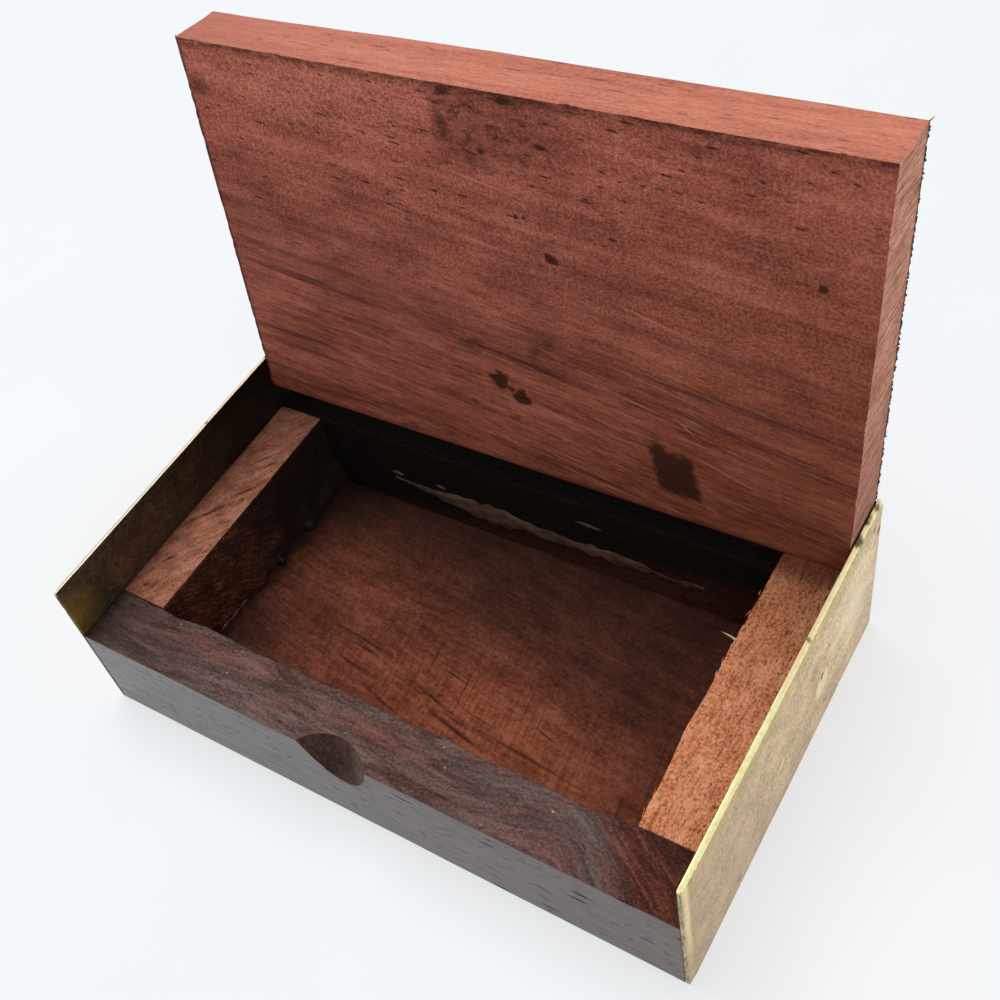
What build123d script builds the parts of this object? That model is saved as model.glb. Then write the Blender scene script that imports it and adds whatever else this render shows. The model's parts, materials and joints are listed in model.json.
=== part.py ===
from build123d import *
import math
import os

# A hand-made trinket box. Two hardwood rails, two end blocks and a thin floor stand between
# brass side plates. A thick lid turns between the plates on two brass pins near its back edge.
# Sizes are millimetres. X runs left to right, Y front to back and Z up, from the middle of the underside.

# Wooden frame
frame_width = 128.0
box_depth = 80.0
rail_height = 22.5
front_rail_thickness = 12.5
back_rail_thickness = 12.0
left_block_width = 11.0
right_block_width = 13.8
floor_thickness = 2.5

# Brass side plates, which stand above the shut lid by the lip
plate_thickness = 1.0
plate_lip = 1.9
plate_edge_round = 0.4

# Lid, with its pin axis measured from its back and top faces
lid_thickness = 12.0
lid_side_gap = 0.25
lid_seat_gap = 0.1
lid_open_angle = 96.0
pivot_inset = 3.9
pivot_drop = 3.5

# Pins, cut from brass rod and filed flush with the plates
pivot_pin_diameter = 3.0
pivot_pin_hold = 12.0
fixing_pin_diameter = 3.0
fixing_pin_cover = 4.0
front_fixing_pin_inset = 24.3
rear_fixing_pin_inset = 13.8
fixing_pin_drop = 7.5
pin_running_clearance = 0.05
pin_end_relief = 0.5

# Thumb notch, a leaning round scoop out of the front rail's top front edge
notch_width = 15.0
notch_top_depth = 4.1
notch_front_depth = 8.4
notch_left_of_centre = 3.2
notch_side_lean = 10.0

# Length by which a cutting tool runs past the faces that it opens
overrun = 1.0

# Places worked out from the sizes above
half_width = frame_width / 2
front_y = -box_depth / 2
back_y = box_depth / 2
block_front_y = front_y + front_rail_thickness
block_back_y = back_y - back_rail_thickness
lid_bottom_z = rail_height + lid_seat_gap
lid_top_z = lid_bottom_z + lid_thickness
lid_width = frame_width - 2 * lid_side_gap
plate_height = lid_top_z + plate_lip
plate_outer_x = half_width + plate_thickness
pivot_y = back_y - pivot_inset
pivot_z = lid_top_z - pivot_drop
fixing_pin_z = rail_height - fixing_pin_drop
fixing_pin_ys = {"front": block_front_y + front_fixing_pin_inset, "rear": block_back_y - rear_fixing_pin_inset}
block_widths = {"left": left_block_width, "right": right_block_width}
side_signs = {"left": -1, "right": 1}


def block(x_low, x_high, y_low, y_high, z_low, z_high):
    """A box between two corners."""
    corner = Pos(x_low, y_low, z_low)
    return corner * Box(x_high - x_low, y_high - y_low, z_high - z_low, align=Align.MIN)


def rod(diameter, x_from, x_to, y, z):
    """A round bar along X."""
    middle = Pos((x_from + x_to) / 2, y, z)
    return middle * Cylinder(diameter / 2, abs(x_to - x_from), rotation=(0, 90, 0))


def opened(shape):
    """Turn a piece from the shut lid's place to where the open lid stands."""
    hinge = Axis((0, pivot_y, pivot_z), (1, 0, 0))
    return shape.rotate(hinge, -lid_open_angle)


def thumb_notch():
    """The round tool that scoops the notch: its deepest line joins the two depths."""
    tilt = math.atan2(notch_top_depth, notch_front_depth)
    sagitta = notch_top_depth * math.cos(tilt)
    radius = ((notch_width / 2) ** 2 + sagitta ** 2) / (2 * sagitta)
    lean = math.tan(math.radians(notch_side_lean))
    along = Vector(-lean, math.tan(tilt), 1).normalized()
    outward = Vector(0, -math.cos(tilt), math.sin(tilt))
    deepest = Vector(-notch_left_of_centre, front_y + notch_top_depth, rail_height)
    tool = Plane(origin=deepest + outward * radius, z_dir=along)
    return tool * Cylinder(radius, 2 * (rail_height + radius))


def front_rail():
    rail = block(-half_width, half_width, front_y, block_front_y, 0, rail_height)
    return rail - thumb_notch()


def back_rail():
    """It stops at the right end block, which runs on past it to the back face."""
    right_end_x = half_width - right_block_width
    return block(-half_width, right_end_x, block_back_y, back_y, 0, rail_height)


def bottom_panel():
    return block(-half_width, half_width, block_front_y, block_back_y, 0, floor_thickness)


def fixing_pin(side, place, relief=0):
    """One plate pin, or with a relief the hole that it is driven into."""
    sign = side_signs[side]
    inner_x = half_width - block_widths[side] + fixing_pin_cover - relief
    outer_x = plate_outer_x + (overrun if relief else 0)
    return rod(fixing_pin_diameter, sign * inner_x, sign * outer_x, fixing_pin_ys[place], fixing_pin_z)


def end_block(side):
    """A block on the floor between the rails. The right one has a foot that closes the back corner."""
    sign = side_signs[side]
    outer_x = sign * half_width
    inner_x = sign * (half_width - block_widths[side])
    low_x, high_x = sorted((inner_x, outer_x))
    wood = block(low_x, high_x, block_front_y, block_back_y, floor_thickness, rail_height)
    if side == "right":
        wood += block(low_x, high_x, block_back_y, back_y, 0, rail_height)
    for place in fixing_pin_ys:
        wood -= fixing_pin(side, place, pin_end_relief)
    return wood


def side_plate(side):
    """Brass sheet over one end, its outer edges eased with a file."""
    sign = side_signs[side]
    low_x, high_x = sorted((sign * half_width, sign * plate_outer_x))
    sheet = block(low_x, high_x, front_y, back_y, 0, plate_height)
    outer_face = sheet.faces().sort_by(Axis.X)[-1 if sign > 0 else 0]
    sheet = fillet(outer_face.edges(), plate_edge_round)
    for place in fixing_pin_ys:
        sheet -= fixing_pin(side, place, pin_end_relief)
    hole_diameter = pivot_pin_diameter + 2 * pin_running_clearance
    inner_x = half_width - overrun
    outer_x = plate_outer_x + overrun
    return sheet - rod(hole_diameter, sign * inner_x, sign * outer_x, pivot_y, pivot_z)


def pivot_pin(side, relief=0):
    """One lid pin, or with a relief the blind hole that it is pressed into."""
    sign = side_signs[side]
    inner_x = lid_width / 2 - pivot_pin_hold - relief
    return rod(pivot_pin_diameter, sign * inner_x, sign * plate_outer_x, pivot_y, pivot_z)


def lid():
    """The slab as it lies shut, its lower back edge rounded to swing clear of the back rail."""
    slab = block(-lid_width / 2, lid_width / 2, front_y, back_y, lid_bottom_z, lid_top_z)
    back_edges = slab.edges().filter_by(Axis.X).group_by(Axis.Y)[-1]
    slab = fillet(back_edges.sort_by(Axis.Z)[0], pivot_inset)
    for side in side_signs:
        slab -= pivot_pin(side, pin_end_relief)
    return slab


pieces = {
    "front_rail": front_rail(),
    "back_rail": back_rail(),
    "bottom_panel": bottom_panel(),
    "lid": opened(lid()),
}
for side in side_signs:
    pieces[f"{side}_end_block"] = end_block(side)
    pieces[f"{side}_side_plate"] = side_plate(side)
    pieces[f"{side}_pivot_pin"] = opened(pivot_pin(side))
    for place in fixing_pin_ys:
        pieces[f"{side}_{place}_fixing_pin"] = fixing_pin(side, place)

os.makedirs("parts", exist_ok=True)
for node, shape in pieces.items():
    export_step(shape, f"parts/{node}.step")
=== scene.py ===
import bmesh
import bpy
import itertools
import json
import math
import numpy as np
from mathutils import Matrix, Vector


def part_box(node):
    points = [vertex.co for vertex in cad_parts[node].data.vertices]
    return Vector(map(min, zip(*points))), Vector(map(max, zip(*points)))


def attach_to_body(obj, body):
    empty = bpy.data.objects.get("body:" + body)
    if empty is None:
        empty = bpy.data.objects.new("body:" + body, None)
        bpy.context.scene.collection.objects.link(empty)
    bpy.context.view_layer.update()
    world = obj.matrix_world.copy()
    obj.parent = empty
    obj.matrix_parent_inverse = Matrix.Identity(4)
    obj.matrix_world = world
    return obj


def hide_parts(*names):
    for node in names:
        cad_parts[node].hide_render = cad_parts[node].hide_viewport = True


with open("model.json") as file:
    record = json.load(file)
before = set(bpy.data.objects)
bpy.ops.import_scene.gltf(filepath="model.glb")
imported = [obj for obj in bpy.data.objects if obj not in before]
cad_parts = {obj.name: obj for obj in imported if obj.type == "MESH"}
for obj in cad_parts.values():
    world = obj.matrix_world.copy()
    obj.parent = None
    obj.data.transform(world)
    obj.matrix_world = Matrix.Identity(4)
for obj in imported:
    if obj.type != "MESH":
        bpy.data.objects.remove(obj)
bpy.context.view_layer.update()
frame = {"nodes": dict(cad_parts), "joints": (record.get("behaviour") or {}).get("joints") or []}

MM = 0.001
HINGE = frame["joints"][0]
PIVOT = Vector(HINGE["pos_m"])
OPEN_TURN = math.radians(-HINGE["range_deg"][1])

# Noise and mesh helpers

TINY = 1e-9
WELD_REACH = 0.001 * MM
SHARP_ANGLE = 38
NOISE_DRAWS = 4096
NOISE_PRIMES = (73856093, 19349663, 83492791)


def wobble(points, cell, seed):
    """Smooth noise between -1 and 1, with features about one cell long, in millimetres, on each axis."""
    table = np.random.default_rng(seed).uniform(-1, 1, NOISE_DRAWS)
    scaled = points / (np.asarray(cell) * MM)
    base = np.floor(scaled).astype(np.int64)
    part = scaled - base
    ease = part * part * (3 - 2 * part)
    total = np.zeros(len(points))
    for corner in itertools.product((0, 1), repeat=3):
        key = np.bitwise_xor.reduce((base + corner) * NOISE_PRIMES, axis=1)
        weight = np.prod(np.where(corner, ease, 1 - ease), axis=1)
        total += weight * table[key % NOISE_DRAWS]
    return total


def ramp01(value, low, high):
    """0 at low, 1 at high, smooth between."""
    part = np.clip((value - low) / (high - low), 0, 1)
    return part * part * (3 - 2 * part)


def grid_line(low, high, step, edge_steps):
    """Grid places from low to high: the edge steps at both ends and even steps between."""
    near = np.cumsum(edge_steps)
    count = max(2, round((high - low - 2 * near[-1]) / step) + 1)
    middle = np.linspace(low + near[-1], high - near[-1], count)
    return np.concatenate([[low], low + near[:-1], middle, high - near[:-1][::-1], [high]])


def slab(low, high, steps, edge_steps):
    """Points and quads of a closed box whose faces carry a grid."""
    lines = [grid_line(low[a], high[a], steps[a], edge_steps) for a in range(3)]
    shape = tuple(len(line) for line in lines)
    skin = np.ones(shape, bool)
    skin[1:-1, 1:-1, 1:-1] = False
    index = np.full(shape, -1)
    index[skin] = np.arange(skin.sum())
    points = np.stack([lines[a][rank] for a, rank in enumerate(np.nonzero(skin))], 1)
    quads = []
    for axis, end in itertools.product(range(3), (0, -1)):
        sheet = np.take(index, end, axis)
        ring = [sheet[:-1, :-1], sheet[1:, :-1], sheet[1:, 1:], sheet[:-1, 1:]]
        quad = np.stack(ring, -1).reshape(-1, 4)
        quads.append(quad[:, ::-1] if (end == 0) != (axis == 1) else quad)
    return points, np.concatenate(quads)


def eased(points, low, high, radius):
    """Round the box's edges and corners to a radius, which may differ from point to point."""
    radius = np.broadcast_to(np.asarray(radius, float), len(points))[:, None]
    core = np.clip(points, np.asarray(low) + radius, np.asarray(high) - radius)
    out = points - core
    reach = np.linalg.norm(out, axis=1, keepdims=True)
    edge = (np.abs(out) > TINY).sum(1, keepdims=True) > 1
    return np.where(edge, core + out * radius / np.maximum(reach, TINY), points)


def weld(mesh):
    """Merge points that fell together when an edge was rounded."""
    work = bmesh.new()
    work.from_mesh(mesh)
    bmesh.ops.remove_doubles(work, verts=work.verts, dist=WELD_REACH)
    work.to_mesh(mesh)
    work.free()


def smooth(mesh, sharp):
    """Shade a mesh smooth but for edges sharper than an angle in degrees."""
    mesh.shade_smooth()
    mesh.set_sharp_from_angle(angle=math.radians(sharp))


def mesh_object(name, points, faces, materials, pick=None, sharp=SHARP_ANGLE):
    """A smooth-shaded mesh. The pick function gives each face's material from its normal."""
    mesh = bpy.data.meshes.new(name)
    mesh.from_pydata(np.asarray(points).tolist(), [], [list(f) for f in faces])
    mesh.validate()
    for material in materials:
        mesh.materials.append(material)
    if pick:
        normals = np.array([tuple(face.normal) for face in mesh.polygons])
        mesh.polygons.foreach_set("material_index", pick(normals).astype(np.int32))
    weld(mesh)
    smooth(mesh, sharp)
    piece = bpy.data.objects.new(name, mesh)
    bpy.context.scene.collection.objects.link(piece)
    return piece


def tube(start, end, radii, sides=48, shares=(0, 1)):
    """Points and faces of a capped round bar between two points, with a radius at each share."""
    start, end = Vector(start), Vector(end)
    axis = (end - start).normalized()
    across = axis.orthogonal().normalized()
    other = axis.cross(across)
    points = []
    for share, radius in zip(shares, radii):
        middle = start.lerp(end, share)
        for turn in np.linspace(0, math.tau, sides, endpoint=False):
            points.append(middle + radius * (math.cos(turn) * across + math.sin(turn) * other))
    faces = [list(range(sides))[::-1], list(range(len(points) - sides, len(points)))]
    for ring, k in itertools.product(range(len(radii) - 1), range(sides)):
        a, b = ring * sides + k, ring * sides + (k + 1) % sides
        faces.append([a, b, b + sides, a + sides])
    return points, faces


def joined(parts):
    """One list of points and faces out of several."""
    points, faces = [], []
    for some_points, some_faces in parts:
        faces += [[k + len(points) for k in face] for face in some_faces]
        points += [tuple(p) for p in some_points]
    return points, faces


def cut_away(piece, shape, paint=0):
    """Cut a shape's space out of a piece, painting the cut with one of the piece's materials."""
    tool = mesh_object("tool", *shape, [], lambda n: np.full(len(n), paint))
    cut = piece.modifiers.new("cut", "BOOLEAN")
    cut.operation = "DIFFERENCE"
    cut.solver = "EXACT"
    cut.object = tool
    bpy.context.view_layer.update()
    graph = bpy.context.evaluated_depsgraph_get()
    shaped = bpy.data.meshes.new_from_object(piece.evaluated_get(graph))
    smooth(shaped, SHARP_ANGLE)
    piece.modifiers.clear()
    bare = piece.data
    piece.data = shaped
    bpy.data.meshes.remove(bare)
    bpy.data.objects.remove(tool)


def sliver(start, along, length, width, sag=0.0):
    """A tapering wood fibre with four sides."""
    start, along = Vector(start), Vector(along).normalized()
    across = along.orthogonal().normalized()
    other = along.cross(across)
    points = []
    for share in (0.0, 0.35, 0.7):
        middle = start + along * length * share - Vector((0, 0, sag * share * share))
        size = width * (1 - share * 0.75) / 2
        points += [middle + size * side for side in (across, other, -across, -other)]
    points.append(start + along * length - Vector((0, 0, sag)))
    faces = [[3, 2, 1, 0]]
    for ring, k in itertools.product((0, 4), range(4)):
        faces.append([ring + k, ring + (k + 1) % 4, ring + 4 + (k + 1) % 4, ring + 4 + k])
    faces += [[8 + k, 8 + (k + 1) % 4, 12] for k in range(4)]
    return points, faces


# Shader nodes, in millimetres of a piece's own space

class Field:
    """A value that varies over a surface. Its sums and products are shader nodes."""

    def __init__(self, shader, socket):
        self.shader = shader
        self.socket = socket

    def math(self, operation, other=0.0):
        return self.shader.field("Math", {0: self, 1: other}, operation=operation)

    def __add__(self, other):
        return self.math("ADD", other)

    def __sub__(self, other):
        return self.math("SUBTRACT", other)

    def __mul__(self, other):
        return self.math("MULTIPLY", other)

    def spread(self, low, high, to_low=0.0, to_high=1.0):
        """The field's low and high carried to two other values, and held there beyond them."""
        inputs = {"Value": self, "From Min": low, "From Max": high, "To Min": to_low, "To Max": to_high}
        return self.shader.field("MapRange", inputs)

    def between(self, at_none, at_full):
        """The field's 0 and 1 carried to two other values."""
        return self.spread(0, 1, at_none, at_full)

    def away(self, centre, far, near):
        """1 within near of a centre, 0 beyond far."""
        return (self - centre).math("ABSOLUTE").spread(far, near)


def most(*fields):
    """The greatest of some fields at each place."""
    top, *others = fields
    for other in others:
        top = top.math("MAXIMUM", other)
    return top


class Shader:
    """A material in the making, with the colour that its layers have come to so far."""

    def __init__(self, name):
        self.material = bpy.data.materials.new(name)
        self.material.use_nodes = True
        self.tree = self.material.node_tree
        self.bsdf = next(n for n in self.tree.nodes if n.type == "BSDF_PRINCIPLED")
        coords = self.tree.nodes.new("ShaderNodeTexCoord")
        self.mm = self.mapped(coords.outputs["Object"], scale=(1 / MM,) * 3)
        self.x, self.y, self.z = self.axes(self.mm)
        self.colour = None

    def node(self, kind, inputs, **settings):
        made = self.tree.nodes.new("ShaderNode" + kind)
        for key, value in settings.items():
            setattr(made, key, value)
        for key, value in inputs.items():
            self.feed(made.inputs[key], value)
        return made

    def field(self, kind, inputs, output=0, **settings):
        return Field(self, self.node(kind, inputs, **settings).outputs[output])

    def feed(self, socket, value):
        if isinstance(value, Field):
            value = value.socket
        if isinstance(value, bpy.types.NodeSocket):
            self.tree.links.new(value, socket)
        else:
            if socket.type == "RGBA" and len(value) == 3:
                value = (*value, 1)
            socket.default_value = value

    def mapped(self, space, turn=(0, 0, 0), scale=(1, 1, 1)):
        return self.node("Mapping", {"Vector": space, "Rotation": turn, "Scale": scale}).outputs[0]

    def sized(self, space, size):
        """A space, or else the plain one, counted in features of a size."""
        return self.mapped(self.mm if space is None else space, scale=tuple(1 / s for s in size))

    def axes(self, space):
        return [Field(self, part) for part in self.node("SeparateXYZ", {0: space}).outputs]

    def grain(self, lean=0.0, drift=0.0, reach=60.0, turn=0.0):
        """Space whose first axis follows the fibres, which lean and drift a little, and its second axis."""
        x, y, z = self.axes(self.mapped(self.mm, (0, 0, turn)))
        wave = self.noise((reach, reach * 0.5, reach * 0.5), 1, band=(0, 1))
        across = y + x * -lean + wave * drift
        return self.node("CombineXYZ", {0: x, 1: across, 2: z}).outputs[0], across

    def noise(self, size, detail=3, rough=0.55, warp=0.0, band=(0.3, 0.7), space=None):
        """Noise with features of a size. A band of its values is spread from 0 to 1."""
        place = self.sized(space, size)
        inputs = {"Vector": place, "Scale": 1.0, "Detail": detail, "Roughness": rough, "Distortion": warp}
        return self.field("TexNoise", inputs).spread(*band)

    def pores(self, size, radius, share, space=None):
        """Short dark vessels: the hearts of some of the long cells."""
        cells = self.node("TexVoronoi", {"Vector": self.sized(space, size), "Scale": 1.0})
        heart = Field(self, cells.outputs["Distance"]).spread(radius, radius * 0.5)
        draw = self.field("SeparateColor", {0: cells.outputs["Color"]})
        return heart * draw.math("LESS_THAN", share)

    def patch(self, centre, half, turn=0.0, soft=0.35, rim=None, ragged=0.0, lean=None):
        """A mask of an ellipsoid, or of a box where a lean is given, with a soft ragged rim."""
        inputs = {"Vector": self.mm, "Location": centre, "Rotation": (0, 0, turn), "Scale": half}
        local = self.node("Mapping", inputs, vector_type="TEXTURE").outputs[0]
        if lean is None:
            reach = self.field("VectorMath", {0: local}, "Value", operation="LENGTH")
        else:
            x, y, z = self.axes(local)
            reach = most(*[side.math("ABSOLUTE") for side in (x + y * -lean, y, z)])
        if rim is not None:
            reach = reach + (rim - 0.5) * ragged
        return reach.spread(1.0, 1.0 - soft)

    def stroke(self, ends, z, half, soft, rim, ragged, deep=9.0):
        """A long thin patch on a face at height z, from one x and y to another."""
        x_from, y_from, x_to, y_to = ends
        centre = ((x_from + x_to) / 2, (y_from + y_to) / 2, z)
        reach = math.hypot(x_to - x_from, y_to - y_from) / 2
        turn = math.atan2(y_to - y_from, x_to - x_from)
        return self.patch(centre, (reach, half, deep), turn, soft, rim, ragged)

    def ramp(self, value, shares, *colours):
        """A colour at each share of a field, blended between."""
        made = self.node("ValToRGB", {0: value})
        band = made.color_ramp
        while len(band.elements) < len(shares):
            band.elements.new(1.0)
        for element, share, colour in zip(band.elements, shares, colours):
            element.position = share
            element.color = (*colour, 1)
        return made.outputs[0]

    def base(self, value, shares, *colours):
        self.colour = self.ramp(value, shares, *colours)

    def lay(self, mask, colour, mode="MIX"):
        """Lay a colour over the layers so far, as far as a mask lets it."""
        inputs = {0: mask, 6: self.colour, 7: colour}
        self.colour = self.node("Mix", inputs, data_type="RGBA", blend_type=mode).outputs[2]

    def finish(self, roughness, height=None, depth=0.1, gloss=0.5, metal=0.0, ior=1.5):
        """The material, with a bump of a depth in millimetres."""
        look = {"Base Color": self.colour, "Roughness": roughness, "Metallic": metal, "IOR": ior}
        look["Specular IOR Level"] = gloss
        if height is not None:
            bump = self.node("Bump", {"Height": height, "Distance": depth * MM, "Strength": 1.0})
            look["Normal"] = bump.outputs[0]
        for key, value in look.items():
            self.feed(self.bsdf.inputs[key], value)
        return self.material


# Lid wood, in the lid's own space: shut, measured in millimetres from the hinge

LID_FRONT = -76.1
LID_BACK = 3.9
LID_UNDER = -8.5
LID_TOP = 3.5
LID_STAINS = [
    # x, distance from the front edge, half width, half height, turn in degrees, strength, softness
    (-8.0, 1.2, 2.4, 1.3, 0, 0.90, 0.6),
    (-8.6, 7.0, 1.6, 3.4, -20, 0.70, 0.7),
    (3.2, 1.2, 3.2, 1.0, 0, 0.90, 0.6),
    (-1.9, 10.6, 0.9, 0.8, 0, 0.85, 0.5),
    (8.9, 7.8, 1.4, 0.6, 10, 0.90, 0.5),
    (-4.0, 12.0, 4.5, 2.2, 10, 0.55, 0.8),
    (9.4, 28.0, 1.8, 1.0, 25, 0.92, 0.4),
    (3.6, 21.2, 0.5, 0.5, 0, 0.90, 0.5),
    (4.9, 21.2, 0.4, 0.5, 0, 0.85, 0.5),
    (21.0, 21.6, 0.9, 0.4, 15, 0.85, 0.5),
    (55.0, 21.6, 0.9, 0.9, 0, 0.92, 0.4),
    (-3.4, 57.5, 2.8, 2.1, 8, 0.95, 0.35),
    (-1.2, 58.9, 1.5, 1.1, 30, 0.90, 0.5),
    (0.9, 60.2, 2.1, 2.1, 40, 0.95, 0.35),
    (28.2, 62.6, 2.2, 2.6, 0, 0.90, 0.7),
    (33.2, 63.4, 1.7, 2.0, 0, 0.65, 0.8),
    (-10.0, 64.7, 1.5, 0.9, 0, 0.65, 0.6),
    (-28.6, 54.6, 1.7, 0.7, 10, 0.55, 0.6),
    (-1.0, 65.8, 1.8, 0.9, 0, 0.55, 0.6),
    (-9.0, 51.0, 3.2, 2.4, -10, 0.55, 0.7),
    (7.4, 45.5, 3.4, 2.2, -25, 0.50, 0.8),
    (4.6, 49.0, 1.6, 3.2, 20, 0.45, 0.8),
    (-26.5, 77.0, 3.4, 1.6, 0, 0.60, 0.7),
    (5.6, 74.5, 4.6, 2.6, 10, 0.50, 0.8),
    (-61.0, 8.5, 3.4, 3.2, 0, 0.60, 0.8),
]
SQUARE_STAIN = (31.7, 67.7, 4.8, 5.5, 4, 0.96, 0.25)
SQUARE_LEAN = 0.34
LID_LINES = [
    # dark growth lines: x and distance from the front edge at both ends, half width, strength
    (-76.0, 39.6, 8.0, 45.6, 1.3, 0.55),
    (-78.0, 43.4, -10.0, 49.8, 1.1, 0.90),
    (-26.0, 48.2, 30.0, 55.2, 1.3, 0.85),
    (6.0, 45.8, 80.0, 51.6, 1.9, 0.65),
    (20.0, 50.8, 78.0, 61.0, 1.7, 0.60),
    (-80.0, 31.0, -10.0, 35.6, 3.0, 0.35),
    (-14.0, 35.4, 80.0, 41.6, 1.8, 0.38),
    (-74.0, 61.0, -38.0, 62.3, 0.8, 0.85),
    (-34.0, 63.4, -4.0, 65.0, 1.6, 0.45),
    (-74.0, 63.6, -34.0, 66.0, 0.8, 0.60),
    (-80.0, 71.0, -6.0, 74.4, 1.2, 0.65),
    (-80.0, 75.8, -18.0, 74.0, 1.4, 0.60),
    (-2.0, 71.0, 32.0, 78.2, 1.1, 0.60),
    (40.0, 68.8, 74.0, 71.4, 1.2, 0.35),
    (-16.0, 77.6, 76.0, 79.0, 1.4, 0.55),
]
LID_BAND = (-84.0, 41.5, 84.0, 53.5)
LID_SCRATCHES = [
    # x and distance from the front edge at both ends
    (-11.8, 14.6, 5.7, 17.9),
    (-18.5, 7.9, -13.5, 8.3),
    (-10.2, 27.1, 1.5, 28.8),
    (-24.3, 24.6, -17.7, 26.0),
    (19.8, 33.3, 33.2, 36.7),
    (5.7, 61.7, 13.2, 63.3),
    (3.2, 65.0, 11.5, 66.7),
    (-6.8, 70.8, -0.2, 72.5),
    (30.7, 53.8, 36.5, 58.3),
    (36.5, 62.5, 47.3, 65.8),
    (11.5, 75.0, 26.5, 77.0),
]
SAW_MIDDLE = (34.0, LID_FRONT - 51.0, LID_UNDER)
SAW_PITCHES = (2.1, 0.83)


def lid_stroke(sh, ends, half, rim, ragged):
    """A long thin mark on the underside between two places."""
    x_from, s_from, x_to, s_to = ends
    ends = (x_from, LID_FRONT + s_from, x_to, LID_FRONT + s_to)
    return sh.stroke(ends, LID_UNDER, half, 0.7, rim, ragged, 4.0)


def lid_spot(sh, stain, rim, ragged=0.9, lean=None):
    """An old stain on the underside."""
    x, s, half_x, half_y, turn, strength, soft = stain
    centre = (x, LID_FRONT + s, LID_UNDER)
    return sh.patch(centre, (half_x, half_y, 2.0), math.radians(turn), soft, rim, ragged, lean) * strength


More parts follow.
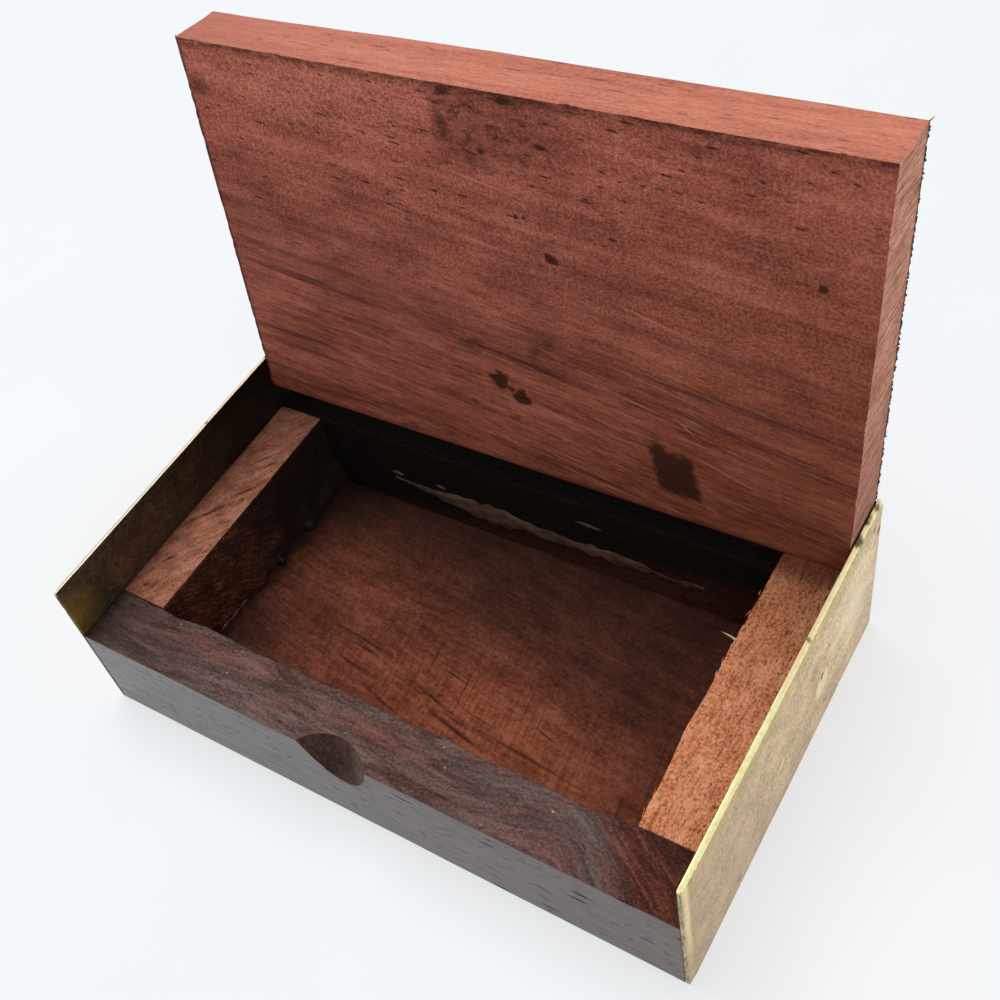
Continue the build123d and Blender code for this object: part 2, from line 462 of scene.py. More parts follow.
def lid_under_wood():
    """The sawn underside: felted fibres, dark growth lines, saw arcs, pale scratches and old stains."""
    sh = Shader("lid_under_wood")
    grain, across = sh.grain(lean=0.1, drift=2.0, reach=80.0)
    streak = sh.noise((40, 1.8, 1.8), 4, 0.6, space=grain)
    fibre = sh.noise((5, 0.4, 0.4), 4, 0.7, space=grain)
    upright = sh.noise((0.45, 1.5, 1.5), 3, 0.7)
    fuzz = sh.noise((0.5, 0.4, 0.4), 3, 0.7)
    blot = sh.noise((14, 6, 6), 5, 0.65)
    felt = upright * 0.22 + fuzz * 0.78
    weave = felt + across.spread(-42.0, -20.0, 0.1, 0.65) * (fibre - felt)
    tone = weave * 0.60 + streak * 0.18 + blot * 0.22
    sh.base(tone, (0.28, 0.5, 0.72), (0.185, 0.050, 0.031), (0.405, 0.115, 0.074), (0.64, 0.213, 0.144))
    # Painted shade, partly the wood's own darker tone: darker away from the front edge, at the front right,
    # and towards the back right, where the painted shade takes a yellow cast
    corner = sh.y + sh.x * 0.6
    front_right_shade = sh.x.spread(-20.0, 50.0, 0.0, 0.2) * sh.y.spread(LID_FRONT + 36.0, LID_FRONT + 16.0)
    tone_and_shade_fade = sh.y.spread(LID_FRONT + 6.0, LID_FRONT + 30.0, 0.0, 0.28)
    tone_and_shade_fade = tone_and_shade_fade + corner.spread(LID_FRONT + 52.0, LID_FRONT + 100.0, 0.0, 0.34) + front_right_shade
    sh.lay(tone_and_shade_fade, (0.056, 0.0135, 0.0055))
    shade_yellow_cast = corner.spread(LID_FRONT + 30.0, LID_FRONT + 100.0)
    sh.lay(shade_yellow_cast, (1.0, 0.97, 0.78), "MULTIPLY")
    # Growth lines and vessels
    broken = sh.noise((18, 0.7, 0.7), band=(0.3, 0.6), space=grain)
    lines = [lid_stroke(sh, ends, half, broken, 0.5) * share for *ends, half, share in LID_LINES]
    band = lid_stroke(sh, LID_BAND, 7.0, blot, 0.6) * 0.28
    sh.lay(most(band, *lines) * broken.between(1.0, 0.75), (0.055, 0.014, 0.015))
    pore = most(sh.pores((7.0, 1.1, 1.1), 0.21, 0.42, grain), sh.pores((3.2, 0.8, 0.8), 0.24, 0.26, grain))
    clear = (sh.y + sh.x * 0.25).spread(LID_FRONT + 18.0, LID_FRONT + 36.0, 1.0, 0.3)
    sh.lay(pore * clear * 0.9, (0.045, 0.011, 0.009))
    # Saw arcs at the front left, and pale scratches
    saw_reach = sh.field("VectorMath", {0: sh.mm, 1: SAW_MIDDLE}, "Value", operation="DISTANCE")
    coarse, fine = [(saw_reach * (math.tau / p)).math("SINE").spread(0.2, 1.0) for p in SAW_PITCHES]
    sawn = sh.patch((-36.0, LID_FRONT + 4.0, LID_UNDER), (32.0, 14.0, 5.0), soft=0.8)
    arcs = most(coarse, fine * 0.7) * sawn * fuzz.spread(0.2, 0.7)
    sh.lay(arcs * 0.6, (0.66, 0.26, 0.185))
    slant = sh.grain(lean=0.2, drift=3.0)[0]
    rubbed = sh.patch((22.0, LID_FRONT + 62.0, LID_UNDER), (52.0, 30.0, 5.0), soft=0.8)
    hair = sh.noise((9, 0.2, 0.2), 2, band=(0.60, 0.68), space=slant) * rubbed.between(0.08, 0.6)
    scored = [lid_stroke(sh, ends, 0.22, fuzz, 0.8) for ends in LID_SCRATCHES]
    sh.lay(most(hair, most(*scored) * 0.5), (0.60, 0.26, 0.18))
    # Stains, and grime in the torn front and left edges
    rim = sh.noise((2.2, 1.6, 2.2), 4, band=(0.2, 0.8))
    soaked = sh.patch((2.0, LID_FRONT + 3.5, LID_UNDER), (13.6, 11.4, 5.0), 0.0, 0.10, rim, 0.18, 0.0)
    ebb = sh.x.spread(20.0, 3.0, 0.1, 1.0) * sh.y.spread(LID_FRONT + 15.0, LID_FRONT + 9.0, 0.3, 1.0)
    soaked = soaked * ebb
    sh.lay(soaked * 0.36, (0.115, 0.029, 0.015))
    clumps = soaked * sh.noise((2.4, 1.5, 2.0), 6, 0.72, band=(0.50, 0.68)) * 0.85
    spots = [lid_spot(sh, stain, rim) for stain in LID_STAINS]
    spots.append(lid_spot(sh, SQUARE_STAIN, rim, 0.25, SQUARE_LEAN))
    torn = sh.noise((3.0, 0.8, 2.0), band=(0.35, 0.6))
    front = sh.y.spread(LID_FRONT + 2.0, LID_FRONT + 0.4) * torn.between(0.3, 0.85)
    left = sh.x.spread(-62.6, -63.3) * torn.between(0.5, 0.9)
    sh.lay(most(front, left, clumps, *spots) * fuzz.between(1.0, 0.88), (0.026, 0.010, 0.006))
    height = weave * 0.8 + pore * -1.0 + arcs * 0.4
    return sh.finish(0.8, height, 0.10, gloss=0.06)


def lid_base(sh, *tones):
    """Grain shared by the lid's edges and outer face."""
    grain, across = sh.grain(lean=0.1, drift=5.0, reach=80.0)
    broad = sh.noise((120, 6, 6), warp=0.3, space=grain)
    streak = sh.noise((60, 1.5, 1.5), 4, 0.65, space=grain)
    fibre = sh.noise((6, 0.5, 0.5), 5, 0.75, space=grain)
    speck = sh.noise((0.8, 0.45, 0.45), 3, 0.7)
    tone = broad * 0.182 + streak * 0.238 + fibre * 0.28 + speck * 0.3
    sh.base(tone, (0.26, 0.5, 0.74), *tones)
    return grain, across, fibre, speck


def lid_edge_wood():
    """Front and back edges: paler, pinker at the left, with short dark vessels."""
    sh = Shader("lid_edge_wood")
    grain, _, fibre, speck = lid_base(sh, (0.36, 0.105, 0.066), (0.56, 0.187, 0.122), (0.70, 0.260, 0.176))
    pink = sh.x.spread(-60.0, -10.0, 0.45, 0.0)
    sh.lay(pink, (0.40, 0.135, 0.100))
    dash = most(sh.pores((14.0, 2.0, 1.4), 0.2, 0.45, grain), sh.pores((6.0, 1.4, 1.0), 0.22, 0.32, grain))
    sh.lay(dash * 0.7, (0.19, 0.048, 0.034))
    rubbed = sh.z.spread(LID_TOP - 0.5, LID_TOP, 0.0, 0.55)
    sh.lay(rubbed, (0.25, 0.13, 0.10))
    height = fibre * 0.4 + speck * 0.3 + dash * -1.0
    return sh.finish(0.7, height, 0.06, gloss=0.15)


def lid_end_wood():
    """Sawn end grain: close scratches across the thickness, dark tears, and a dark outer rim that is
    painted shadow of the torn edge.
    """
    sh = Shader("lid_end_wood")
    scratch = sh.noise((9, 0.4, 9), 3, 0.6, band=(0.34, 0.66))
    fine = sh.noise((9, 0.22, 4), 3, 0.7, band=(0.34, 0.66))
    tone = scratch * 0.4 + fine * 0.35 + sh.noise((9, 5, 5)) * 0.25
    sh.base(tone, (0.2, 0.5, 0.8), (0.30, 0.105, 0.062), (0.70, 0.302, 0.190), (0.93, 0.51, 0.37))
    tear = sh.noise((9, 0.45, 1.3), band=(0.58, 0.66))
    sh.lay(tear * 0.7, (0.16, 0.056, 0.038))
    sh.lay(sh.y.spread(LID_FRONT + 30.0, -4.0, 0.0, 0.42), (0.20, 0.078, 0.054))
    # Painted shadow: a dark ragged rim along the torn outer edge
    ragged = sh.noise((9, 0.7, 2.0), band=(0.35, 0.6))
    rim = sh.z.spread(2.3, 2.8) * ragged.between(0.6, 1.0)
    sh.lay(rim * 0.95, (0.03, 0.014, 0.011))
    height = scratch + fine * 0.6 + tear * -0.8
    return sh.finish(0.8, height, 0.12, gloss=0.1)


def lid_top_wood():
    """The outer face, planed smoother and a little darker."""
    sh = Shader("lid_top_wood")
    grain, across, fibre, _ = lid_base(sh, (0.15, 0.042, 0.030), (0.30, 0.088, 0.062), (0.42, 0.135, 0.098))
    lines = sh.noise((140, 1.1, 1.1), 3, 0.65, band=(0.45, 0.65), space=grain)
    heart = across.away(-26.0, 10.0, 1.0) * lines.between(0.2, 1.0)
    sh.lay(heart * 0.6, (0.075, 0.019, 0.020))
    pore = sh.pores((6.0, 0.8, 0.8), 0.25, 0.32, grain)
    sh.lay(pore * 0.7, (0.055, 0.014, 0.012))
    return sh.finish(fibre.between(0.6, 0.45), fibre * 0.5 + pore * -1.0, 0.06, gloss=0.4)


# Woods of the box, in millimetres from the middle of its underside

RAIL_TOP = 22.5
FLOOR_TOP = 2.5


def rail_face_wood(name, cracks):
    """Dark rosewood under a dull polish, with short dark cracks towards the right."""
    sh = Shader(name)
    streak = sh.noise((14, 0.8, 0.8), 5, 0.7)
    speck = sh.noise((0.7, 0.5, 0.5), 3, 0.7)
    tone = streak * 0.6 + speck * 0.4
    sh.base(tone, (0.26, 0.5, 0.76), (0.026, 0.018, 0.018), (0.060, 0.045, 0.044), (0.105, 0.068, 0.062))
    pore = sh.pores((3.2, 0.9, 0.9), 0.32, 0.38)
    right = (sh.x + sh.z * 2.0).spread(0.0, 60.0, 0.25, 1.0)
    crack = sh.pores((9.0, 1.3, 1.3), 0.28, 0.45) * right
    combed = sh.patch((18.0, -40.0, 18.5), (26.0, 9.0, 5.5), soft=0.8)
    hatch = sh.noise((5.0, 0.3, 0.35), band=(0.58, 0.70)) * combed
    marks = most(pore * 0.5, crack * cracks, hatch * 0.8)
    sh.lay(sh.x.spread(-20.0, 60.0, 0.1, 0.6), (0.100, 0.050, 0.038))
    sh.lay(marks, (0.012, 0.008, 0.008))
    blot = sh.noise((7, 4, 3), 5, 0.7)
    shine = blot.between(0.56, 0.40) + marks * -0.34 + sh.x.spread(-60.0, 60.0, 0.11, -0.15)
    rough = streak.between(0.36, 0.24) + marks * 0.3
    height = streak * 0.5 + speck * 0.3 + marks * -2.0
    return sh.finish(rough, height, 0.015, gloss=shine, ior=1.53)


RAIL_VEINS = [
    # x and y of both ends of the red veins in the front rail's top, half width, strength
    (-66.0, -29.6, -12.0, -32.4, 2.4, 0.95),
    (-20.0, -31.6, 24.0, -34.0, 3.0, 0.95),
    (-60.0, -35.4, -30.0, -34.8, 1.3, 0.75),
    (1.0, -38.6, 32.0, -37.4, 2.4, 0.85),
    (33.0, -40.0, 41.5, -35.0, 2.2, 0.85),
    (40.5, -35.0, 46.0, -40.0, 2.2, 0.85),
]


def rail_top_wood():
    """The same wood worn and dusty: grey and red-brown mottles, whose grain arches near the right end."""
    sh = Shader("rail_top_wood")
    wave = sh.noise((45, 20, 20), 1, band=(0, 1))
    past = (sh.x - 41.0).math("MAXIMUM", -15.0)
    arch = (past * past + 6.0).math("SQRT") * 0.60 + past * 0.22
    across = sh.y + wave * 3.0 + arch
    grain = sh.node("CombineXYZ", {0: sh.x, 1: across, 2: sh.z}).outputs[0]
    mottle = sh.noise((13, 2.8, 2.8), 6, 0.72, 0.9, space=grain)
    streak = sh.noise((6, 0.8, 0.8), 5, 0.75, space=grain)
    speck = sh.noise((0.6, 0.5, 0.5), 3, 0.75)
    tone = mottle * 0.46 + streak * 0.16 + speck * 0.38
    shares = (0.29, 0.5, 0.72)
    sh.base(tone, shares, (0.043, 0.031, 0.028), (0.102, 0.072, 0.065), (0.180, 0.135, 0.121))
    red = sh.ramp(tone, shares, (0.054, 0.024, 0.019), (0.140, 0.060, 0.048), (0.250, 0.108, 0.087))
    tint = sh.noise((30, 3.6, 3.6), 5, 0.7, 1.0, (0.40, 0.60), grain) * 0.75
    veins = [sh.stroke(ends, RAIL_TOP, half, 0.7, streak, 0.9) * share for *ends, half, share in RAIL_VEINS]
    sh.lay(most(tint, *veins), red)
    tone = streak * 0.34 + mottle * 0.34 + speck * 0.32
    shares = (0.30, 0.5, 0.72)
    dark_end = sh.ramp(tone, shares, (0.022, 0.007, 0.005), (0.075, 0.020, 0.012), (0.23, 0.060, 0.036))
    sh.lay((sh.x + sh.y * 0.6).spread(26.0, 33.0, 0.0, 0.9), dark_end)
    # Painted shade towards the far left end, shaded by the left plate
    sh.lay(sh.x.spread(-34.0, -64.0, 0.0, 0.58), (0.030, 0.018, 0.014))
    pore = sh.pores((4.0, 0.8, 0.8), 0.24, 0.25, grain)
    sh.lay(pore * 0.7, (0.015, 0.010, 0.010))
    # Painted shade in the corner against the left plate
    sh.lay(sh.x.spread(-61.0, -63.8, 0.0, 0.75), (0.010, 0.007, 0.006))
    dust = most(sh.pores((4.5, 4.5, 4.5), 0.045, 0.6), sh.pores((7.0, 5.0, 6.0), 0.045, 0.8))
    sh.lay(dust * 0.7, (0.70, 0.56, 0.48))
    height = streak * 0.5 + speck * 0.5 + pore * -1.0
    return sh.finish(0.75, height, 0.10, gloss=0.08)


def notch_wood():
    """The scoop's cut: dark, with fine upright lines, and paler up its right flank as painted light."""
    sh = Shader("notch_wood")
    fibre = sh.noise((0.5, 0.5, 7), 4, 0.65)
    tone = fibre * 0.6 + sh.noise((4, 4, 3), 4) * 0.4
    sh.base(tone, (0.25, 0.75), (0.022, 0.011, 0.008), (0.080, 0.038, 0.026))
    # Painted light: the right flank, which faces the light, made paler
    pale = sh.ramp(tone, (0.25, 0.75), (0.075, 0.040, 0.030), (0.185, 0.108, 0.082))
    sh.lay((sh.x + sh.z * 0.25).spread(1.5, 9.0), pale)
    return sh.finish(0.75, fibre, 0.06, gloss=0.1)


def fibre_wood(name, dark, pale):
    """Torn fibres and splinters, finely lined."""
    sh = Shader(name)
    fibre = sh.noise((0.7, 0.7, 6), 4, 0.65)
    tone = fibre * 0.6 + sh.noise((6, 6, 3), 4) * 0.4
    sh.base(tone, (0.25, 0.75), dark, pale)
    return sh.finish(0.75, fibre, 0.06, gloss=0.1)


def back_rail_wood():
    """The back rail's inside: nearly black, browner below and to the right."""
    sh = Shader("back_rail_wood")
    fibre = sh.noise((5, 0.8, 0.8), 4, 0.7)
    tone = fibre * 0.4 + sh.noise((0.9, 0.7, 0.7), 4, 0.7) * 0.6
    sh.base(tone, (0.25, 0.75), (0.002, 0.002, 0.0015), (0.012, 0.008, 0.006))
    brown = sh.ramp(tone, (0.25, 0.75), (0.016, 0.007, 0.005), (0.090, 0.030, 0.018))
    sh.lay((sh.z + sh.x * -0.15).spread(10.0, 1.0), brown)
    return sh.finish(0.75, fibre, 0.06, gloss=0.05)


LEFT_STROKES = [
    # x and y of the dark cuts across the left block's top, half length, half width
    (-59.7, -3.6, 5.8, 0.60),
    (-56.2, 4.1, 4.4, 0.60),
    (-58.6, -1.8, 1.6, 0.85),
    (-55.3, 2.0, 0.7, 0.60),
    (-58.0, 13.0, 3.4, 0.30),
    (-55.6, 12.4, 2.4, 0.30),
    (-60.0, -17.0, 2.2, 0.45),
    (-60.3, -24.4, 1.0, 0.60),
]


def left_top_wood():
    """Tan block cut across a slanting grain, with a few torn dark strokes."""
    sh = Shader("left_top_wood")
    grain = sh.grain(turn=math.radians(-58), drift=3.0, reach=12.0)[0]
    fibre = sh.noise((7, 1.1, 1.1), 5, 0.7, space=grain)
    blot = sh.noise((3.5, 3.5, 3.5), 4)
    speck = sh.noise((0.55, 0.55, 0.55), 3, 0.7)
    tone = fibre * 0.36 + speck * 0.34 + blot * 0.30
    sh.base(tone, (0.26, 0.5, 0.74), (0.17, 0.058, 0.031), (0.335, 0.130, 0.076), (0.52, 0.235, 0.15))
    cuts = sh.noise((5, 0.9, 0.9), band=(0.60, 0.70), space=grain) * 0.75
    for x, y, half, width in LEFT_STROKES:
        cut = sh.patch((x, y, RAIL_TOP), (half, width, 2.0), math.radians(54), 0.7, speck, 0.5)
        cuts = most(cuts, cut * 0.9)
    sh.lay(cuts, (0.070, 0.021, 0.012))
    # Painted shade: darker towards the back and beside the left plate, which stands above the block
    worn = most(sh.y.spread(-4.0, 28.0, 0.0, 0.55), sh.x.spread(-61.5, -64.0, 0.0, 0.6))
    sh.lay(worn, (0.085, 0.034, 0.020))
    return sh.finish(0.75, fibre + cuts * -1.2, 0.12, gloss=0.1)


def left_wall_wood():
    """The same block's inner face: dark, torn and grimy, blackest at the back."""
    sh = Shader("left_wall_wood")
    sloped = sh.mapped(sh.mm, (math.radians(35), 0, 0))
    fibre = sh.noise((4, 4, 0.6), 5, 0.7, space=sloped)
    blot = sh.noise((5, 5, 5), 4)
    tone = fibre * 0.4 + blot * 0.25 + sh.noise((0.6, 0.6, 0.6), 3, 0.7) * 0.35
    sh.base(tone, (0.3, 0.5, 0.75), (0.019, 0.007, 0.004), (0.071, 0.021, 0.010), (0.245, 0.085, 0.039))
    sh.lay(sh.y.spread(-18.0, 10.0, 0.0, 0.93), (0.007, 0.004, 0.003))
    return sh.finish(blot.between(0.8, 0.55), fibre, 0.25, gloss=0.15)


def knot_resin():
    sh = Shader("knot_resin")
    blot = sh.noise((1.5, 1.5, 1.5))
    sh.base(blot, (0.2, 0.8), (0.003, 0.002, 0.002), (0.012, 0.007, 0.005))
    return sh.finish(0.6, blot, 0.1, gloss=0.15)


def right_block_wood():
    """Orange-brown block, open and torn, its dark vessels thickest near the plate and the back."""
    sh = Shader("right_block_wood")
    grain = sh.grain(turn=math.radians(90), drift=3.0, reach=20.0)[0]
    fibre = sh.noise((5, 0.9, 0.9), 5, 0.7, space=grain)
    blot = sh.noise((4.5, 6.0, 4.5), 4)
    speck = sh.noise((0.55, 0.65, 0.55), 4, 0.75)
    tone = fibre * 0.28 + speck * 0.52 + blot * 0.20
    sh.base(tone, (0.28, 0.5, 0.72), (0.36, 0.105, 0.046), (0.78, 0.285, 0.133), (0.98, 0.460, 0.260))
    pore = most(sh.pores((2.4, 0.7, 0.7), 0.30, 0.16, grain), sh.pores((1.2, 0.6, 0.6), 0.30, 0.16, grain))
    torn = sh.noise((2.0, 0.7, 0.7), 5, 0.7, band=(0.60, 0.68), space=grain) * 0.85
    near = most(sh.x.spread(55.0, 63.0), sh.y.spread(0.0, 20.0))
    marks = most(pore, torn) * near.between(0.5, 1.0)
    sh.lay(marks * 0.88, (0.085, 0.022, 0.013))
    # Painted shade: darker towards the back, under the open lid
    sh.lay(sh.y.spread(4.0, 36.0, 0.0, 0.52), (0.15, 0.046, 0.020))
    height = fibre * 0.6 + speck * 0.5 + marks * -1.2
    return sh.finish(0.78, height, 0.16, gloss=0.1)


FLOOR_STREAKS = [
    # x and y of both ends of the dark grain streaks, half width
    (-42.0, -4.5, -9.1, -9.1, 0.35),
    (-30.6, -8.2, -14.9, -9.5, 0.45),
    (-29.9, -12.0, -14.9, -14.1, 0.40),
    (-10.6, -10.6, 5.1, -14.9, 0.50),
    (-2.0, -15.6, 15.1, -19.5, 0.55),
    (-1.0, -14.4, 9.0, -16.2, 0.40),
    (-17.7, -16.3, -6.3, -19.5, 0.50),
    (-6.3, -5.9, 3.7, -7.4, 0.35),
    (16.6, -9.1, 26.6, -12.0, 0.40),
    (9.0, -15.0, 36.6, -18.0, 0.45),
    (-50.6, -10.6, -43.4, -12.0, 0.50),
    (-52.0, -2.0, -43.0, -3.2, 0.40),
]


def floor_wood():
    """Reddish panel: mottled, with slanting dark grain, a few saw lines, and one paler stretch at the front
    middle that is painted light.
    """
    sh = Shader("floor_wood")
    grain = sh.grain(lean=-0.16, drift=6.0, reach=40.0)[0]
    sawn = sh.mapped(sh.mm, (0, 0, math.radians(-7)))
    fibre = sh.noise((10, 1.0, 1.0), 5, 0.7, space=grain)
    saw = sh.noise((0.7, 40, 3), 3, 0.6, space=sawn)
    blot = sh.noise((12, 6, 6), 6, 0.7, space=grain)
    speck = sh.noise((0.7, 0.7, 0.7), 4, 0.75)
    # Patches of painted light; the saw lines show most in the front one
    worn = sh.patch((8.0, -16.0, FLOOR_TOP), (62.0, 23.0, 9.0), math.radians(-10), soft=1.0)
    rubbed = sh.patch((-28.0, 2.0, FLOOR_TOP), (36.0, 24.0, 9.0), math.radians(-25), soft=1.0)
    tone = fibre * 0.22 + saw * worn.spread(0.0, 0.6, 0.02, 0.16) + speck * 0.36 + blot * 0.30
    shares = (0.28, 0.5, 0.72)
    sh.base(tone, shares, (0.043, 0.0135, 0.0085), (0.100, 0.031, 0.018), (0.168, 0.058, 0.035))
    pale = sh.ramp(tone, shares, (0.095, 0.023, 0.0105), (0.225, 0.060, 0.0285), (0.39, 0.118, 0.062))
    # Painted light: paler across the front middle, and fainter to the left
    sh.lay(most(worn, rubbed * 0.45).spread(0.05, 0.75), pale)
    lines = sh.noise((13, 0.8, 0.8), 4, band=(0.60, 0.70), space=grain) * 0.6
    cuts = sh.noise((0.8, 22, 9), 2, band=(0.62, 0.72), space=sawn) * sh.y.spread(12.0, -4.0, 0.1, 0.6)
    streaks = [sh.stroke(ends, FLOOR_TOP, half, 0.8, fibre, 0.8) * 0.85 for *ends, half in FLOOR_STREAKS]
    sh.lay(most(lines, cuts, *streaks), (0.040, 0.012, 0.007))
    # Painted shade towards the back and the far left corner, and a painted shadow along the left block
    sh.lay(sh.y.spread(4.0, 28.0, 0.0, 0.6), (0.012, 0.006, 0.004))
    sh.lay((sh.y + sh.x * -1.0).spread(54.0, 78.0, 0.0, 0.92), (0.004, 0.003, 0.002))
    width = sh.noise((5, 4, 3), 4, band=(0.2, 0.8)) * sh.y.spread(-14.0, 6.0, 3.0, 7.0)
    left_block_shadow = (sh.x - width).spread(-51.5, -54.5)
    sh.lay(left_block_shadow * 0.85, (0.022, 0.008, 0.006))
    height = fibre * 0.5 + saw * 0.4 + speck * 0.4
    return sh.finish(0.7, height, 0.10, gloss=0.08)


# Brass and glue

PLATE_MARKS = [
    # y, z, half length, half height, strength: grime round the pins, gouges and spots
    (36.4, 31.9, 0.8, 0.9, 0.85),
    (39.0, 29.4, 1.2, 1.2, 0.90),
    (37.6, 27.9, 0.6, 0.5, 0.50),
    (14.4, 16.9, 1.3, 1.2, 0.92),
    (30.0, 36.2, 1.8, 1.2, 0.90),
    (34.6, 36.6, 1.8, 0.9, 0.90),
    (38.0, 36.0, 1.2, 0.9, 0.80),
    (8.0, 36.2, 0.6, 0.7, 0.70),
    (-26.8, 18.8, 0.7, 0.5, 0.60),
    (16.6, 5.8, 1.2, 1.1, 0.50),
    (-20.8, 3.2, 1.4, 1.2, 0.50),
    (-3.0, 11.6, 1.4, 0.6, 0.40),
]
ACROSS_PLATES = 500.0


def on_plate(sh, y, z, half_y, half_z, soft, rim=None, ragged=0.0):
    """A patch at the same place of both plates, through and through."""
    return sh.patch((0, y, z), (ACROSS_PLATES, half_y, half_z), 0.0, soft, rim, ragged)


def brass(name, tones, roughness, tarnish):
    """Sanded brass: scratches along the sheet, speckle, blotches, a dark film and grimy marks."""
    sh = Shader(name)
    scratch = sh.noise((0.3, 5, 0.2))
    cross = sh.noise((0.3, 4, 0.25), 2, space=sh.mapped(sh.mm, (math.radians(18), 0, 0)))
    speck = sh.noise((0.6, 0.7, 0.5), 4, 0.75)
    tone = scratch * 0.16 + cross * 0.12 + speck * 0.50 + sh.noise((8, 8, 6), 4) * 0.22
    sh.base(tone, (0.30, 0.5, 0.70), *tones)
    rim = sh.noise((0.9, 0.9, 0.9), band=(0.2, 0.8))
    marks = sh.noise((1.2, 1.3, 1.0), 5, 0.7, band=(0.57, 0.70)) * tarnish
    for *place, strength in PLATE_MARKS:
        marks = most(marks, on_plate(sh, *place, 0.6, rim, 0.9) * strength)
    rough = scratch.between(roughness - 0.06, roughness + 0.08) + marks * 0.2
    height = scratch + cross * 0.5 + speck * 0.8
    return sh, marks, rough, height


def outer_brass():
    """Sandy, darker at the front and paler behind as painted reflection, olive under the top edge, with a
    pale ring round the rear pin.
    """
    tones = [(0.28, 0.175, 0.074), (0.69, 0.475, 0.245), (1.0, 0.79, 0.47)]
    sh, marks, rough, height = brass("outer_brass", tones, 0.42, 0.5)
    # Painted reflection: darker towards the front
    sh.lay(sh.y.spread(-40.0, 20.0, 0.55, 0.0), (0.36, 0.255, 0.145))
    pink = sh.noise((10, 10, 7), band=(0.48, 0.66))
    sh.lay(pink * 0.35, (0.76, 0.49, 0.34))
    # Painted reflection: a pale patch behind, where the plate mirrors its bright surroundings
    pale = on_plate(sh, 29.0, 20.0, 13.0, 16.0, 0.9)
    sh.lay(pale * 0.65, (1.0, 0.86, 0.58))
    olive = sh.z.spread(30.0, 35.6, 0.0, 0.5)
    sh.lay(olive, (0.60, 0.47, 0.15))
    sh.lay(sh.z.spread(16.0, 0.0, 0.0, 0.35), (0.40, 0.29, 0.18))
    front = sh.y.away(-38.9, 1.2, 0.3) * sh.z.spread(6.0, 22.0, 0.1, 0.75)
    sh.lay(front, (0.98, 0.78, 0.42))
    line = sh.y.away(-37.5, 0.9, 0.1)
    sh.lay(line * 0.35, (0.42, 0.32, 0.10))
    ring = on_plate(sh, 14.4, 14.5, 4.2, 5.6, 0.8)
    sh.lay(ring * 0.45, (0.62, 0.40, 0.22))
    halo = on_plate(sh, 14.4, 14.5, 3.1, 4.4, 0.3)
    sh.lay(halo * 0.75, (1.0, 0.82, 0.55))
    # Painted highlight: the lit side of a small bump on the plate
    bump = on_plate(sh, -3.2, 14.4, 1.2, 1.8, 0.5)
    sh.lay(bump * 0.5, (0.98, 0.80, 0.55))
    sh.lay(marks, (0.10, 0.06, 0.03))
    return sh.finish(rough, height, 0.02, metal=1.0)


def edge_brass():
    """Filed edges: bright along the top, brown and nicked down the front, duller on the left plate, whose
    front edge is darkened as painted shadow.
    """
    tones = [(0.80, 0.69, 0.32), (0.96, 0.86, 0.45), (1.0, 0.95, 0.54)]
    sh, marks, rough, height = brass("edge_brass", tones, 0.42, 0.12)
    left = sh.x.math("LESS_THAN", 0.0)
    sh.lay(left * 0.9, (0.54, 0.47, 0.38))
    tan = sh.y.spread(-8.0, 4.0, 0.0, 0.7) * sh.z.spread(35.9, 36.2)
    sh.lay(tan, (0.78, 0.56, 0.36))
    nicked = sh.noise((0.6, 1.2, 1.6), 4, band=(0.40, 0.60))
    front = sh.y.spread(-39.2, -39.7) * sh.z.spread(36.0, 35.4)
    sh.lay(front * 0.75, (0.46, 0.33, 0.20))
    sh.lay(most(marks, front * nicked * 0.7), (0.085, 0.055, 0.030))
    # Painted shadow down the left plate's front edge
    sh.lay(front * left, (0.020, 0.015, 0.012))
    return sh.finish(rough, height, 0.01, metal=1.0)


def inner_brass():
    """Brass darkened as painted shade, nearly black towards the back, with an amber gleam at the front as
    painted reflection.
    """
    # Brass tones darkened as painted shade
    tones = [(0.06, 0.049, 0.031), (0.14, 0.112, 0.068), (0.24, 0.190, 0.112)]
    sh, marks, rough, height = brass("inner_brass", tones, 0.5, 0.6)
    # Painted reflection: an amber gleam at the front
    amber = on_plate(sh, -38.5, 27.5, 7.0, 8.0, 0.9)
    sh.lay(amber * 0.85, (0.47, 0.265, 0.046))
    # Painted shade: nearly black towards the back
    sh.lay(sh.y.spread(-28.0, 14.0, 0.0, 0.88), (0.022, 0.017, 0.011))
    sh.lay(marks, (0.05, 0.037, 0.018))
    return sh.finish(rough, height, 0.012, metal=1.0)


def pin_brass():
    tones = [(0.52, 0.40, 0.22), (0.74, 0.60, 0.36), (0.86, 0.74, 0.50)]
    sh, marks, rough, height = brass("pin_brass", tones, 0.36, 0.3)
    sh.lay(marks, (0.10, 0.06, 0.03))
    return sh.finish(rough, height, 0.012, metal=1.0)


def glue(name, dark, light):
    """Dried wood glue, cloudy and a little glossy."""
    sh = Shader(name)
    cloud = sh.noise((3, 3, 1.5), 4)
    sh.base(cloud, (0.2, 0.8), dark, light)
    return sh.finish(0.5, cloud, 0.1, gloss=0.3)


LID_WOODS = [lid_under_wood(), lid_edge_wood(), lid_end_wood(), lid_top_wood()]
